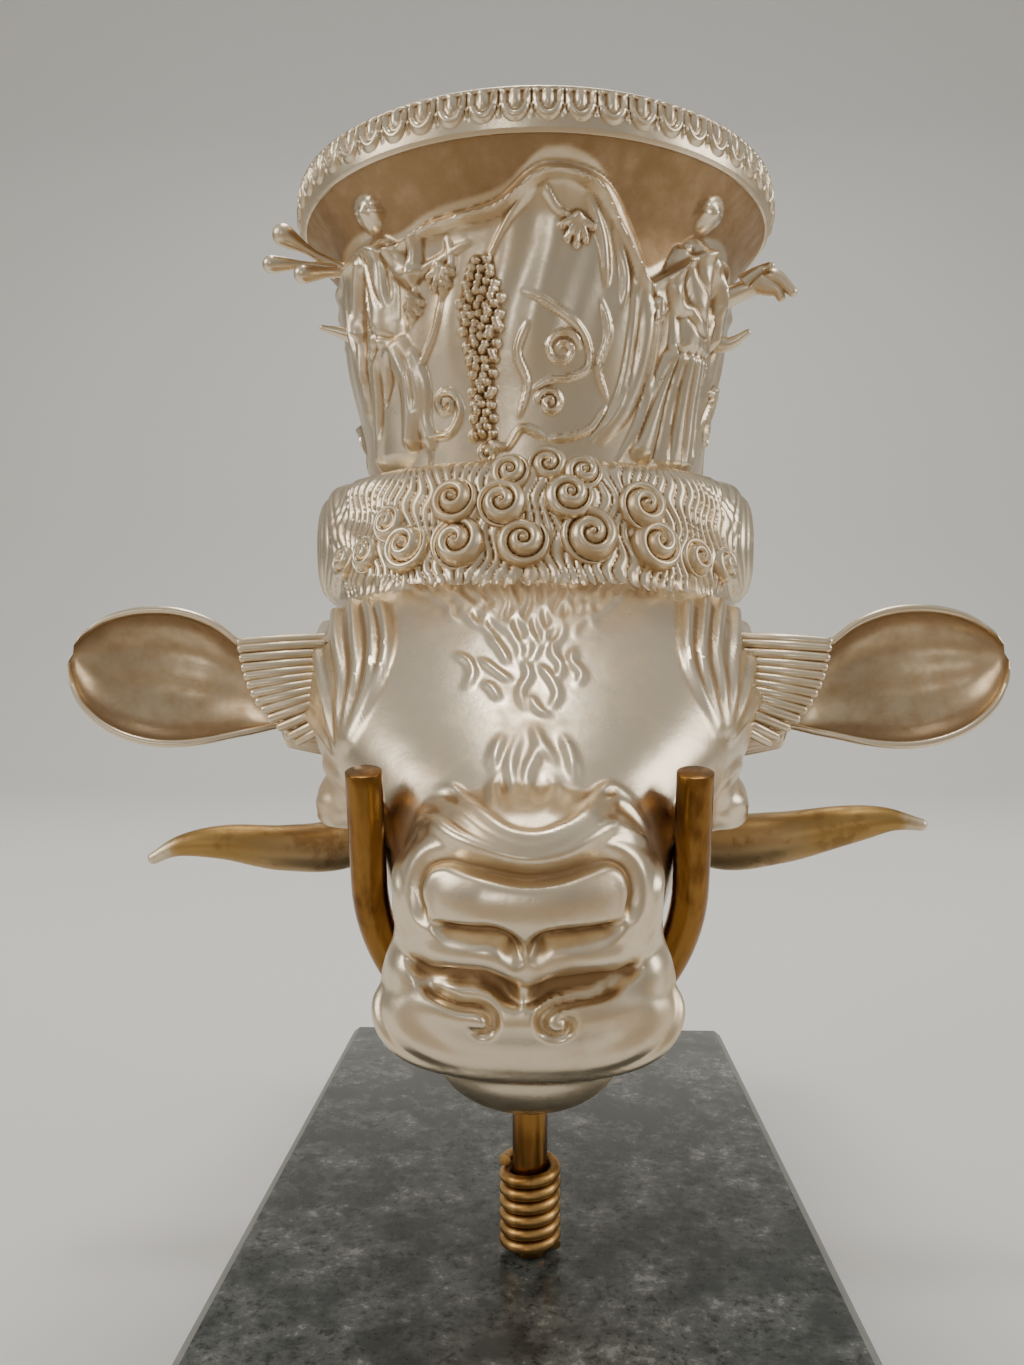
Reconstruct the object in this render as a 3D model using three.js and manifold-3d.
// A silver rhyton: a hollow bull's head with a beaker rising from its poll,
// held at the muzzle by a brass fork on a post in a stone slab.
// Millimetres, +Z up. The muzzle faces -Y, and the origin is the middle of the slab's underside.
import * as THREE from "three";
import { mergeVertices } from "three/addons/utils/BufferGeometryUtils.js";
import Module from "manifold-3d";

const wasm = await Module();
wasm.setup();

// Driving dimensions
const SEAT_GAP = 0.3; // between pieces that touch
const CUP_COLUMNS = 44;
const SLAB = { width: 104, length: 154, height: 20, chamfer: 2 };
const ROD_RADIUS = 3;
const POST_Y = -38.5;
const FORK = { halfSpan: 26.3, bottomZ: 56.4, bendZ: 85, tipZ: 103.6, lean: 0.29 };
const COIL = { wireRadius: 1, radius: 4.3, pitch: 2.2, turns: 6.5 };
const CUP = { axisY: 41, seatZ: 150, rimZ: 233.2, wall: 2, neckRadius: 40 };
const RIM = { radius: 58, bandHeight: 7.8, eggs: 56 };
const COLLAR = { radius: 51.2, topZ: 163 };
const HEAD_WALL = 2.4;
const HEAD_ROWS = 16;
const HEAD_COLUMNS = 28;

const COLOURS = { silver: 0xc9c2b4, gilt: 0xc9a35a, brass: 0xb98a3c, stone: 0x4b4f4d };

// Solids and meshes

// A manifold solid from points and triangle indices, turned to face outwards.
function solidFrom(points, triangles) {
  const make = (faces) =>
    new wasm.Manifold(
      new wasm.Mesh({
        numProp: 3,
        vertProperties: new Float32Array(points.flatMap((p) => [p.x, p.y, p.z])),
        triVerts: new Uint32Array(faces),
      }),
    );
  const made = make(triangles);
  if (made.volume() > 0) return made;
  return make(triangles.toReversed());
}

// A three.js geometry as a manifold solid.
function solidOf(geometry) {
  const bare = geometry.clone();
  for (const name of ["normal", "uv"]) bare.deleteAttribute(name);
  const merged = mergeVertices(bare, 1e-4);
  const place = merged.getAttribute("position");
  const pointAt = (_, i) => new THREE.Vector3().fromBufferAttribute(place, i);
  const points = Array.from({ length: place.count }, pointAt);
  return solidFrom(points, Array.from(merged.index.array));
}

function geometryOf(solid) {
  const mesh = solid.getMesh();
  const geometry = new THREE.BufferGeometry();
  geometry.setAttribute("position", new THREE.BufferAttribute(new Float32Array(mesh.vertProperties), 3));
  geometry.setIndex(new THREE.BufferAttribute(new Uint32Array(mesh.triVerts), 1));
  geometry.computeVertexNormals();
  return geometry;
}

// A closed solid through rings that have the same number of points, with a fan over each end.
function ringSolid(rings) {
  const count = rings[0].length;
  const points = rings.flat();
  const triangles = [];
  for (let row = 0; row < rings.length - 1; row++)
    for (let k = 0; k < count; k++) {
      const here = row * count + k;
      const next = row * count + ((k + 1) % count);
      triangles.push(here, next, here + count, next, next + count, here + count);
    }
  const last = rings.length - 1;
  const centreOf = (ring) => ring.reduce((sum, p) => sum.add(p), new THREE.Vector3()).divideScalar(count);
  const first = points.push(centreOf(rings[0])) - 1;
  const end = points.push(centreOf(rings[last])) - 1;
  for (let k = 0; k < count; k++) {
    triangles.push((k + 1) % count, k, first);
    triangles.push(last * count + k, last * count + ((k + 1) % count), end);
  }
  return solidFrom(points, triangles);
}

// A closed solid whose rings also join end to end, as a tyre does.
function hoopSolid(rings) {
  const count = rings[0].length;
  const triangles = [];
  for (let row = 0; row < rings.length; row++)
    for (let k = 0; k < count; k++) {
      const after = (row + 1) % rings.length;
      const side = (k + 1) % count;
      const corners = [row * count + k, row * count + side, after * count + k, after * count + side];
      triangles.push(corners[0], corners[1], corners[2], corners[1], corners[3], corners[2]);
    }
  return solidFrom(rings.flat(), triangles);
}

// A tapering bar of polygonal section along a list of points.
function taperedBar(points, radii, sides) {
  const path = new THREE.CatmullRomCurve3(points);
  const frames = path.computeFrenetFrames(radii.length - 1);
  const rings = radii.map((radius, i) => {
    const centre = path.getPointAt(i / (radii.length - 1));
    return Array.from({ length: sides }, (_, k) => {
      const angle = (2 * Math.PI * k) / sides;
      return centre
        .clone()
        .addScaledVector(frames.normals[i], radius * Math.cos(angle))
        .addScaledVector(frames.binormals[i], radius * Math.sin(angle));
    });
  });
  return ringSolid(rings);
}

function roundRod(path, radius, sides, steps) {
  const section = new THREE.Shape(
    Array.from({ length: sides }, (_, k) => {
      const angle = (2 * Math.PI * k) / sides;
      return new THREE.Vector2(radius * Math.cos(angle), radius * Math.sin(angle));
    }),
  );
  return solidOf(new THREE.ExtrudeGeometry(section, { steps, bevelEnabled: false, extrudePath: path }));
}

// An ellipsoid, or with square above 2 a boxier one with rounded edges.
function ellipsoid({ centre, radii, square = 2 }, segments, rows) {
  const geometry = new THREE.SphereGeometry(1, segments, rows);
  const place = geometry.getAttribute("position");
  for (let i = 0; i < place.count; i++) {
    const point = new THREE.Vector3().fromBufferAttribute(place, i);
    const size = point.toArray().reduce((sum, part) => sum + Math.abs(part) ** square, 0) ** (1 / square);
    place.setXYZ(i, ...point.divideScalar(size).toArray());
  }
  geometry.scale(...radii);
  geometry.translate(...centre);
  return solidOf(geometry);
}

const joined = (solids) => solids.reduce((all, solid) => all.add(solid));
const mirrored = (solid) => solid.mirror([1, 0, 0]);

// Smooth value between the entries of a list, where place runs from 0 to 1 over the whole list.
function smoothAt(values, place) {
  const span = values.length - 1;
  const i = Math.min(Math.floor(place * span), span - 1);
  const f = place * span - i;
  const at = (k) => values[Math.max(0, Math.min(span, k))];
  const [a, b, c, d] = [at(i - 1), at(i), at(i + 1), at(i + 2)];
  return b + 0.5 * f * (c - a + f * (2 * a - 5 * b + 4 * c - d + f * (3 * (b - c) + d - a)));
}

const spread = (values, count) => Array.from({ length: count }, (_, i) => smoothAt(values, i / (count - 1)));

// The head

// Cross-sections from the collar down to the muzzle. Each lies between a point on the face's middle
// line and a point on the throat's, given as y and z, with its half width, how square it is,
// and how far up it is widest.
const HEAD_SECTIONS = [
  { face: [-2, 163], throat: [84, 163], half: 43, square: 2, widest: 0.5 },
  { face: [-8.2, 161], throat: [90.2, 161], half: 49.2, square: 2, widest: 0.5 },
  { face: [-10.4, 153.5], throat: [92, 153.5], half: 51.2, square: 2, widest: 0.5 },
  { face: [-10.8, 145], throat: [90, 142], half: 50.6, square: 2.05, widest: 0.5 },
  { face: [-13.5, 138], throat: [83, 130], half: 47, square: 2.1, widest: 0.52 },
  { face: [-20, 134], throat: [71, 117], half: 46.5, square: 2.25, widest: 0.56 },
  { face: [-28.5, 127], throat: [56, 104.5], half: 46.8, square: 2.4, widest: 0.6 },
  { face: [-37, 119], throat: [38, 93.5], half: 44.2, square: 2.5, widest: 0.6 },
  { face: [-45, 111.5], throat: [17, 83.5], half: 38.5, square: 2.45, widest: 0.58 },
  { face: [-52.5, 105], throat: [-6, 75], half: 30.5, square: 2.3, widest: 0.56 },
  { face: [-58, 100.5], throat: [-27, 66.5], half: 23.6, square: 2.2, widest: 0.55 },
  { face: [-62, 98], throat: [-40, 61.5], half: 21, square: 2.2, widest: 0.52 },
  { face: [-66, 96], throat: [-48, 57.5], half: 20.6, square: 2.3, widest: 0.52 },
  { face: [-69.5, 92], throat: [-55, 55], half: 18.6, square: 2.4, widest: 0.52 },
  { face: [-71, 85], throat: [-61, 61], half: 12.5, square: 2.3, widest: 0.5 },
];

// A point of the head's skin. Place 0 is the collar's top and 1 the muzzle's end, and an angle of
// 90 degrees is the middle of the face.
function headPoint(place, angle, inset = 0) {
  const value = (pick) => smoothAt(HEAD_SECTIONS.map(pick), place);
  const face = new THREE.Vector3(0, value((s) => s.face[0]), value((s) => s.face[1]));
  const throat = new THREE.Vector3(0, value((s) => s.throat[0]), value((s) => s.throat[1]));
  const tall = face.distanceTo(throat);
  const up = face.clone().sub(throat).normalize();
  const widest = value((s) => s.widest);
  const power = 2 / value((s) => s.square);
  const bent = (part) => Math.sign(part) * Math.abs(part) ** power;
  const reach = (Math.sin(angle) > 0 ? 1 - widest : widest) * tall - inset;
  const across = bent(Math.cos(angle)) * (value((s) => s.half) - inset);
  const point = throat.clone().addScaledVector(up, widest * tall + reach * bent(Math.sin(angle)));
  point.x += across;
  return point;
}

function headLoft(rows, around, from, to, insetAt) {
  const rings = Array.from({ length: rows + 1 }, (_, row) => {
    const place = from + ((to - from) * row) / rows;
    return Array.from({ length: around }, (_, k) =>
      headPoint(place, (2 * Math.PI * (k + 0.5)) / around, insetAt(place)),
    );
  });
  return ringSolid(rings);
}

const MUZZLE_FORMS = [
  { centre: [0, -60, 86.5], radii: [19.8, 12.6, 14], square: 2.3 }, // upper muzzle with its pad
  { centre: [0, -59, 69.5], radii: [23.2, 11, 9.6], square: 2.4 }, // wide lower lip
  { centre: [0, -55.5, 61], radii: [14.5, 8, 9.8] }, // chin
];
const EYE = { centre: [33.5, -25, 97], radii: [6.6, 7.5, 6] };

const headSkin = joined([
  headLoft(HEAD_ROWS, HEAD_COLUMNS, 0, 1, () => 0),
  ...MUZZLE_FORMS.map((form) => ellipsoid(form, 14, 8)),
]);
const bothSides = new THREE.MeshBasicMaterial({ side: THREE.DoubleSide });
const headTarget = new THREE.Mesh(geometryOf(headSkin), bothSides);

// Where a straight line from outside first meets the head.
function touch(origin, direction) {
  const ray = new THREE.Raycaster(origin, direction.clone().normalize());
  const hit = ray.intersectObject(headTarget)[0];
  return { point: hit.point, normal: hit.face.normal.clone() };
}

const faceTouch = (x, z) => touch(new THREE.Vector3(x, -200, z), new THREE.Vector3(0, 1, 0));

// The raised lines on the face: points as x and z seen from in front, in a half that is mirrored.
const PLEATS = { count: 5, corner: [33, 103], top: { near: 26, far: 43.5, z: 133.5, drop: 4 }, radius: 1.9 };
const MUZZLE_LINES = [
  { at: [[0, 93.5], [7, 95.5], [12.5, 99], [17, 95]], radius: 1.3 },
  { at: [[0, 90], [7, 91.5], [13, 93], [17.4, 88.5], [16.5, 82], [8, 79.5], [1.5, 77.5]], radius: 1.5 },
  { at: [[17.5, 77], [9, 74.5], [3.5, 71.5], [4, 68], [7.5, 69]], radius: 1.2 },
];

function faceRidge(places, radius, steps) {
  const points = places.map(([x, z]) => faceTouch(x, z).point);
  const share = [0.35, 1, 1, 0.35];
  return taperedBar(points, spread(share, steps + 1).map((part) => part * radius), 4);
}

function browPleats() {
  return Array.from({ length: PLEATS.count }, (_, i) => {
    const share = i / (PLEATS.count - 1);
    const topX = PLEATS.top.near + (PLEATS.top.far - PLEATS.top.near) * share;
    const topZ = PLEATS.top.z - PLEATS.top.drop * share * share;
    const middle = [(topX + PLEATS.corner[0]) / 2 + 3 * (share - 0.3), (topZ + PLEATS.corner[1]) / 2];
    return faceRidge([[topX, topZ], middle, PLEATS.corner], PLEATS.radius, 3);
  });
}

const collarPoint = (angle, z, radius = COLLAR.radius) =>
  new THREE.Vector3(radius * Math.sin(angle), CUP.axisY - radius * Math.cos(angle), z);

// Each curl's place on the collar, as degrees from the front and height, and its radius.
const CURLS = [
  ...[[-51, 144, 3.4], [-42, 144.5, 3.4], [-29, 145, 4.6], [-16.3, 145.3, 4.8], [-2, 145.2, 4.6]],
  ...[[12.5, 146.5, 5], [28, 145.4, 4.8], [40, 143.5, 3.6], [51, 143, 3.6]],
  ...[[-34.5, 150.5, 3.4], [-17.5, 154, 4.2], [-6.6, 153, 4.2], [8, 154.5, 4.2], [25, 153, 4.4]],
  ...[[-5, 159.5, 3.4], [3.5, 161, 3.4], [11.5, 159.5, 3.4]],
];
const CURL_SIDES = 6;

// A snail curl: a low faceted knob that leans out from the collar.
function collarCurl([degrees, z, radius]) {
  const angle = THREE.MathUtils.degToRad(degrees);
  const outside = collarPoint(angle, z, 90);
  const seat = touch(outside, new THREE.Vector3(0, CUP.axisY, z).sub(outside)).point;
  const out = seat.clone().sub(new THREE.Vector3(0, CUP.axisY, z - 12)).normalize();
  const side = new THREE.Vector3().crossVectors(out, new THREE.Vector3(0, 0, 1)).normalize();
  const up = new THREE.Vector3().crossVectors(side, out);
  const steps = [[1, -1.5], [0.95, 0.8], [0.5, 2.8]];
  return ringSolid(
    steps.map(([share, height]) =>
      Array.from({ length: CURL_SIDES }, (_, k) => {
        const turn = (2 * Math.PI * k) / CURL_SIDES;
        return seat
          .clone()
          .addScaledVector(out, height)
          .addScaledVector(side, radius * share * Math.cos(turn))
          .addScaledVector(up, radius * share * Math.sin(turn));
      }),
    ),
  );
}

const LOCKS = { perSide: 8, first: 62, step: 15.5, radius: 3 };

// The combed locks that slant round the collar's sides and back.
function collarLocks() {
  const half = Array.from({ length: LOCKS.perSide }, (_, i) => {
    const angle = THREE.MathUtils.degToRad(LOCKS.first + i * LOCKS.step);
    const slant = THREE.MathUtils.degToRad(9);
    const points = [
      collarPoint(angle - slant, COLLAR.topZ - 1.2, COLLAR.radius - 4),
      collarPoint(angle, 153, COLLAR.radius - 0.6),
      collarPoint(angle + slant / 2, 143.5, COLLAR.radius - 2.4),
    ];
    return taperedBar(points, [1, LOCKS.radius, LOCKS.radius, 1], 3);
  });
  return [...half, ...half.map(mirrored)];
}

// Stations along an ear, from the fringe at its root: share of the middle line, how much further along
// the upper edge is, half width, depth of the back, and depth of the hollow (negative where the front
// still bulges forwards).
const EAR_SECTIONS = [
  { along: 0.367, slant: 0.046, half: 8.2, back: 6, front: -3 },
  { along: 0.46, slant: 0.03, half: 10.2, back: 7.6, front: 4.4 },
  { along: 0.58, slant: 0, half: 12.8, back: 8.8, front: 7.2 },
  { along: 0.7, slant: 0, half: 14, back: 9.2, front: 7.6 },
  { along: 0.82, slant: 0, half: 13.2, back: 8.4, front: 6.8 },
  { along: 0.92, slant: 0, half: 10.4, back: 6.4, front: 4.8 },
  { along: 0.98, slant: 0, half: 6.2, back: 3.6, front: 2.2 },
  { along: 1, slant: 0, half: 3, back: 1.8, front: 0.8 },
];
const EAR_LINE = [[30, -2, 110], [46, -5.5, 114], [60, -9, 117], [77, -11.5, 119.5], [92, -12.5, 123.5]];
const EAR_ARC = 6;
const earLine = new THREE.CatmullRomCurve3(EAR_LINE.map((p) => new THREE.Vector3(...p)));

// A point beside the ear's middle line: turn 0 is its back and a quarter turn its upper edge.
function earPoint({ along, slant }, width, depth, turn) {
  const place = Math.min(1, along + slant * Math.sin(turn));
  const ahead = earLine.getTangentAt(place);
  const rear = new THREE.Vector3(0.1, 1, -0.12).projectOnPlane(ahead).normalize();
  const wide = new THREE.Vector3().crossVectors(ahead, rear);
  return earLine
    .getPointAt(place)
    .addScaledVector(wide, width * Math.sin(turn))
    .addScaledVector(rear, depth * Math.cos(turn));
}

function makeEar() {
  const rings = EAR_SECTIONS.map((section) => {
    const { half, back, front } = section;
    const innerHalf = half - Math.min(1, half * 0.4);
    const turns = Array.from({ length: EAR_ARC + 1 }, (_, k) => Math.PI * (k / EAR_ARC - 0.5));
    const outside = turns.map((turn) => earPoint(section, half, back, turn));
    return [...outside, ...turns.toReversed().map((turn) => earPoint(section, innerHalf, front, turn))];
  });
  return ringSolid(rings);
}

// The combed fringe that stands round each ear's root, as rings of alternating ridge and groove.
// Its end slants, longest at the top.
const FRINGE = { ridges: 12, groove: 1.3 };
const FRINGE_STATIONS = [
  { along: 0.04, slant: 0, half: 9, deep: 7 },
  { along: 0.22, slant: 0.03, half: 9.8, deep: 7.8 },
  { along: 0.36, slant: 0.055, half: 9.6, deep: 7.8 },
];

function earFringe() {
  const points = 2 * FRINGE.ridges;
  return ringSolid(
    FRINGE_STATIONS.map((station) =>
      Array.from({ length: points }, (_, k) => {
        const sunk = (k % 2) * FRINGE.groove;
        return earPoint(station, station.half - sunk, station.deep - sunk, (2 * Math.PI * k) / points);
      }),
    ),
  );
}

// The hollow inside the head, as shares of its length. The wall thickens towards the collar,
// where it carries the beaker.
const HOLLOW = { from: 0.13, to: 0.88, thickUntil: 0.36, thickening: 11.5 };

function wallAt(place) {
  const nearCollar = Math.max(0, (HOLLOW.thickUntil - place) / (HOLLOW.thickUntil - HOLLOW.from));
  return HEAD_WALL + HOLLOW.thickening * nearCollar ** 1.5;
}

function makeHead() {
  const facing = MUZZLE_LINES.map(({ at, radius }) => faceRidge(at, radius, 2 * at.length - 3));
  const half = [ellipsoid(EYE, 8, 6), earFringe(), ...browPleats(), ...facing];
  const pairs = [...half, ...half.map(mirrored)];
  const outside = joined([headSkin, ...pairs, ...CURLS.map(collarCurl), ...collarLocks()]);
  const hollow = headLoft(9, 20, HOLLOW.from, HOLLOW.to, wallAt);
  const seatRadius = CUP.neckRadius + SEAT_GAP;
  const seat = new THREE.CylinderGeometry(seatRadius, seatRadius, 20, CUP_COLUMNS);
  seat.rotateX(Math.PI / 2);
  seat.translate(0, CUP.axisY, CUP.seatZ - SEAT_GAP + 10);
  return outside.subtract(hollow).subtract(solidOf(seat));
}

// The beaker

// Outer radius at each height, from the foot inside the collar to the lip under the rim band.
const CUP_PROFILE = [
  [40, CUP.seatZ],
  [40, 161],
  [43, 184],
  [46.2, 208],
  [49.5, 217],
  [56.4, 226],
  [56.4, CUP.rimZ],
];

function wallRadius(z) {
  const above = CUP_PROFILE.findIndex(([, height]) => height > z);
  const [r0, z0] = CUP_PROFILE[above - 1];
  const [r1, z1] = CUP_PROFILE[above];
  return THREE.MathUtils.mapLinear(z, z0, z1, r0, r1);
}

// The relief: each form's middle line as degrees from the front and height, and its radius along it.
const CLOAK_EDGE = {
  at: [
    ...[[-50, 212], [-38, 209], [-26, 212], [-8, 214], [3, 220]],
    ...[[15, 218.5], [25, 211], [31, 197], [30, 180], [20, 168]],
  ],
  radii: [1.6, 2.4, 2.4, 2.4, 1.8],
  stations: 14,
};
const VINE = { at: [[1, 217], [-6, 211], [-12, 203]], radii: [1, 1.4, 1.2], stations: 4 };
const GRAPES = { at: [[-12, 204], [-13.5, 187], [-15, 169]], radii: [2, 4.4, 3.2, 2.6, 1.2], stations: 6 };
const DANCER = [
  { at: [[1, 222], [0, 214]], radii: [2.4, 5, 3.4], stations: 4 }, // head
  { at: [[0, 215], [-1, 203], [-3, 189]], radii: [4, 8, 6.6], stations: 4 }, // body
  { at: [[-4, 193], [-8, 179], [-12, 165]], radii: [6.2, 5.6, 3.2], stations: 3 }, // standing leg
  { at: [[1, 192], [7, 182], [4, 168]], radii: [5.8, 5, 2.8], stations: 3 }, // bent leg
  { at: [[5, 210], [12, 204], [15, 212]], radii: [3.4, 3.2, 2], stations: 3 }, // raised arm
  { at: [[-5, 210], [-12, 204], [-13, 195]], radii: [3.4, 3.2, 2], stations: 3 }, // lowered arm
];
const ROBED = [
  { at: [[-1, 222], [0, 214]], radii: [2.4, 5, 3.4], stations: 4 }, // head
  { at: [[0, 215], [0, 202], [1, 188]], radii: [4, 7.6, 6.4], stations: 4 }, // body
  { at: [[1, 191], [2, 178], [3, 163.5]], radii: [6.4, 8.6, 9], stations: 4 }, // skirt
  { at: [[-6, 188], [-11, 175], [-15, 165]], radii: [2, 4, 3], stations: 3 }, // blown fold
  { at: [[5, 210], [12, 203], [14, 194]], radii: [3.4, 3.2, 2], stations: 3 }, // arm
];
const FIGURES = [[DANCER, -44], [ROBED, 49], [DANCER, 112], [ROBED, -112], [DANCER, 172]];

const cupPoint = (degrees, radius, z) => collarPoint(THREE.MathUtils.degToRad(degrees), z, radius);

// A low ridge on the wall. Its foot sinks into the wall without passing through.
function wallForm({ at, radii, stations }, turn = 0) {
  const places = at.map(([degrees, z]) => cupPoint(degrees + turn, wallRadius(z), z));
  const path = new THREE.CatmullRomCurve3(places);
  const axis = new THREE.Vector3(0, CUP.axisY, 0);
  const section = [[-1, -1, 0], [-0.75, 0, 0.45], [0, 0, 0.8], [0.75, 0, 0.45], [1, -1, 0]];
  const rings = spread(radii, stations).map((radius, i) => {
    const share = i / (stations - 1);
    const centre = path.getPointAt(share);
    const out = centre.clone().sub(axis).setZ(0).normalize();
    const side = new THREE.Vector3().crossVectors(path.getTangentAt(share), out).normalize();
    return section.map(([wide, sunk, high]) =>
      centre.clone().addScaledVector(side, wide * radius).addScaledVector(out, sunk + high * radius),
    );
  });
  return ringSolid(rings);
}

const cupRing = (radius, z, columns) =>
  Array.from({ length: columns }, (_, k) => cupPoint((360 * k) / columns, radius, z));

// Rows of the rim band: how far it stands out from the rim's radius, its height, and how deep the
// groove between two eggs is there.
const RIM_ROWS = [[-0.6, 0, 0], [0.5, 3, 1.3], [0, RIM.bandHeight, 0.3]];

function rimBand() {
  const columns = 2 * RIM.eggs;
  const baseZ = CUP.rimZ - RIM.bandHeight;
  const innerRadius = CUP_PROFILE.at(-1)[0] - 1;
  return hoopSolid(
    Array.from({ length: columns }, (_, k) => {
      const degrees = (360 * k) / columns;
      const outer = RIM_ROWS.map(([out, up, groove]) =>
        cupPoint(degrees, RIM.radius + out - (k % 2) * groove, baseZ + up),
      );
      return [...outer, cupPoint(degrees, innerRadius, CUP.rimZ), cupPoint(degrees, innerRadius, baseZ + 1)];
    }),
  );
}

// The limbs that stand free of the wall, as angle, radius and height along each.
const FREE_LIMBS = [
  [[-66, 45, 214], [-68, 55, 217], [-66, 60, 219], [-65, 64, 214]],
  [[-64, 45, 205], [-66, 54, 209], [-65, 60, 206]],
  [[-68, 43, 199], [-70, 49, 200], [-70, 52, 202]],
  [[66, 46, 205], [68, 55, 208], [66, 60, 209], [66, 65, 204]],
  [[64, 45, 196], [66, 49, 195], [66, 53, 197]],
];

function makeCup() {
  const outside = ringSolid(CUP_PROFILE.map(([radius, z]) => cupRing(radius, z, CUP_COLUMNS)));
  const relief = [CLOAK_EDGE, VINE, GRAPES].map((form) => wallForm(form));
  const figures = FIGURES.flatMap(([figure, turn]) => figure.map((form) => wallForm(form, turn)));
  const limbs = FREE_LIMBS.map((limb) =>
    taperedBar(limb.map(([a, r, z]) => cupPoint(a, r, z)), [2.6, 2.3, 2.1, 1], 5),
  );
  const insideRows = CUP_PROFILE.map(([radius, z]) => [radius - CUP.wall, z]);
  insideRows[0][1] -= 5;
  insideRows.at(-1)[1] += 5;
  const inside = ringSolid(insideRows.map(([radius, z]) => cupRing(radius, z, CUP_COLUMNS)));
  return joined([outside, rimBand(), ...relief, ...figures, ...limbs]).subtract(inside);
}

// The two horns differ a little, as made by hand: middle line and radius at each point.
const HORNS = {
  left: {
    line: [
      ...[[-22, 12, 100], [-30, 6, 90.5], [-40, 0.5, 84], [-51, -4.5, 83.8]],
      ...[[-62, -8.5, 86.3], [-71, -10.5, 86], [-76, -11, 82.8]],
    ],
    radii: [5.6, 6, 5.6, 4.4, 3.2, 2.2, 0.9],
  },
  right: {
    line: [
      ...[[22, 12, 100], [29, 6, 91], [38.5, 0.5, 85], [49.5, -5.5, 86.3]],
      ...[[61, -10, 89.4], [69, -13, 91], [75, -14.5, 90.3]],
    ],
    radii: [5.6, 6.2, 6.2, 5.6, 4.7, 3.4, 1.2],
  },
};

function makeHorn({ line, radii }) {
  const points = line.map((p) => new THREE.Vector3(...p));
  return taperedBar(points, spread(radii, 11), 8).subtract(clearHead);
}

// The mount

function forkPath() {
  const at = (x, z) => new THREE.Vector3(x, POST_Y - FORK.lean * (z - FORK.bottomZ), z);
  const bend = Array.from({ length: 13 }, (_, i) => {
    const angle = Math.PI * (1 + i / 12);
    const drop = FORK.bendZ - FORK.bottomZ;
    return at(FORK.halfSpan * Math.cos(angle), FORK.bendZ + drop * Math.sin(angle));
  });
  const points = [at(-FORK.halfSpan, FORK.tipZ), at(-FORK.halfSpan, 94), ...bend, at(FORK.halfSpan, 94)];
  return new THREE.CatmullRomCurve3([...points, at(FORK.halfSpan, FORK.tipZ)]);
}

function makePost() {
  const foot = SLAB.height + SEAT_GAP;
  const top = FORK.bottomZ - ROD_RADIUS - SEAT_GAP;
  const geometry = new THREE.CylinderGeometry(ROD_RADIUS, ROD_RADIUS, top - foot, 20);
  geometry.rotateX(Math.PI / 2);
  geometry.translate(0, POST_Y, (top + foot) / 2);
  return solidOf(geometry);
}

class Helix extends THREE.Curve {
  getPoint(share, target = new THREE.Vector3()) {
    const angle = 2 * Math.PI * COIL.turns * share;
    const lift = COIL.pitch * COIL.turns * share;
    const base = SLAB.height + SEAT_GAP + COIL.wireRadius;
    return target.set(COIL.radius * Math.cos(angle), POST_Y + COIL.radius * Math.sin(angle), base + lift);
  }
}

function makeSlab() {
  const corners = (inset, z) => {
    const x = SLAB.width / 2 - inset;
    const y = SLAB.length / 2 - inset;
    return [[x, -y], [x, y], [-x, y], [-x, -y]].map(([cx, cy]) => new THREE.Vector3(cx, cy, z));
  };
  const shoulder = SLAB.height - SLAB.chamfer;
  return ringSolid([corners(0, 0), corners(0, shoulder), corners(SLAB.chamfer, SLAB.height)]);
}

// The whole object

function named(name, solid, colour, roughness, metalness) {
  const material = new THREE.MeshStandardMaterial({ color: colour, roughness, metalness });
  const mesh = new THREE.Mesh(geometryOf(solid), material);
  mesh.name = name;
  return mesh;
}

const clearHead = headLoft(HEAD_ROWS, HEAD_COLUMNS, 0, 1, () => -SEAT_GAP);
const silver = [COLOURS.silver, 0.3, 1];
const fork = roundRod(forkPath(), ROD_RADIUS, 8, 22);
const coil = roundRod(new Helix(), COIL.wireRadius, 5, Math.round(8 * COIL.turns));

const rhyton = new THREE.Group();
rhyton.add(
  named("head", makeHead(), ...silver),
  named("cup", makeCup(), ...silver),
  named("ear_right", makeEar(), ...silver),
  named("ear_left", mirrored(makeEar()), ...silver),
  named("horn_right", makeHorn(HORNS.right), COLOURS.gilt, 0.35, 1),
  named("horn_left", makeHorn(HORNS.left), COLOURS.gilt, 0.35, 1),
  named("fork", fork, COLOURS.brass, 0.3, 1),
  named("post", makePost(), COLOURS.brass, 0.3, 1),
  named("coil", coil, COLOURS.brass, 0.4, 1),
  named("slab", makeSlab(), COLOURS.stone, 0.25, 0),
);

export default rhyton;
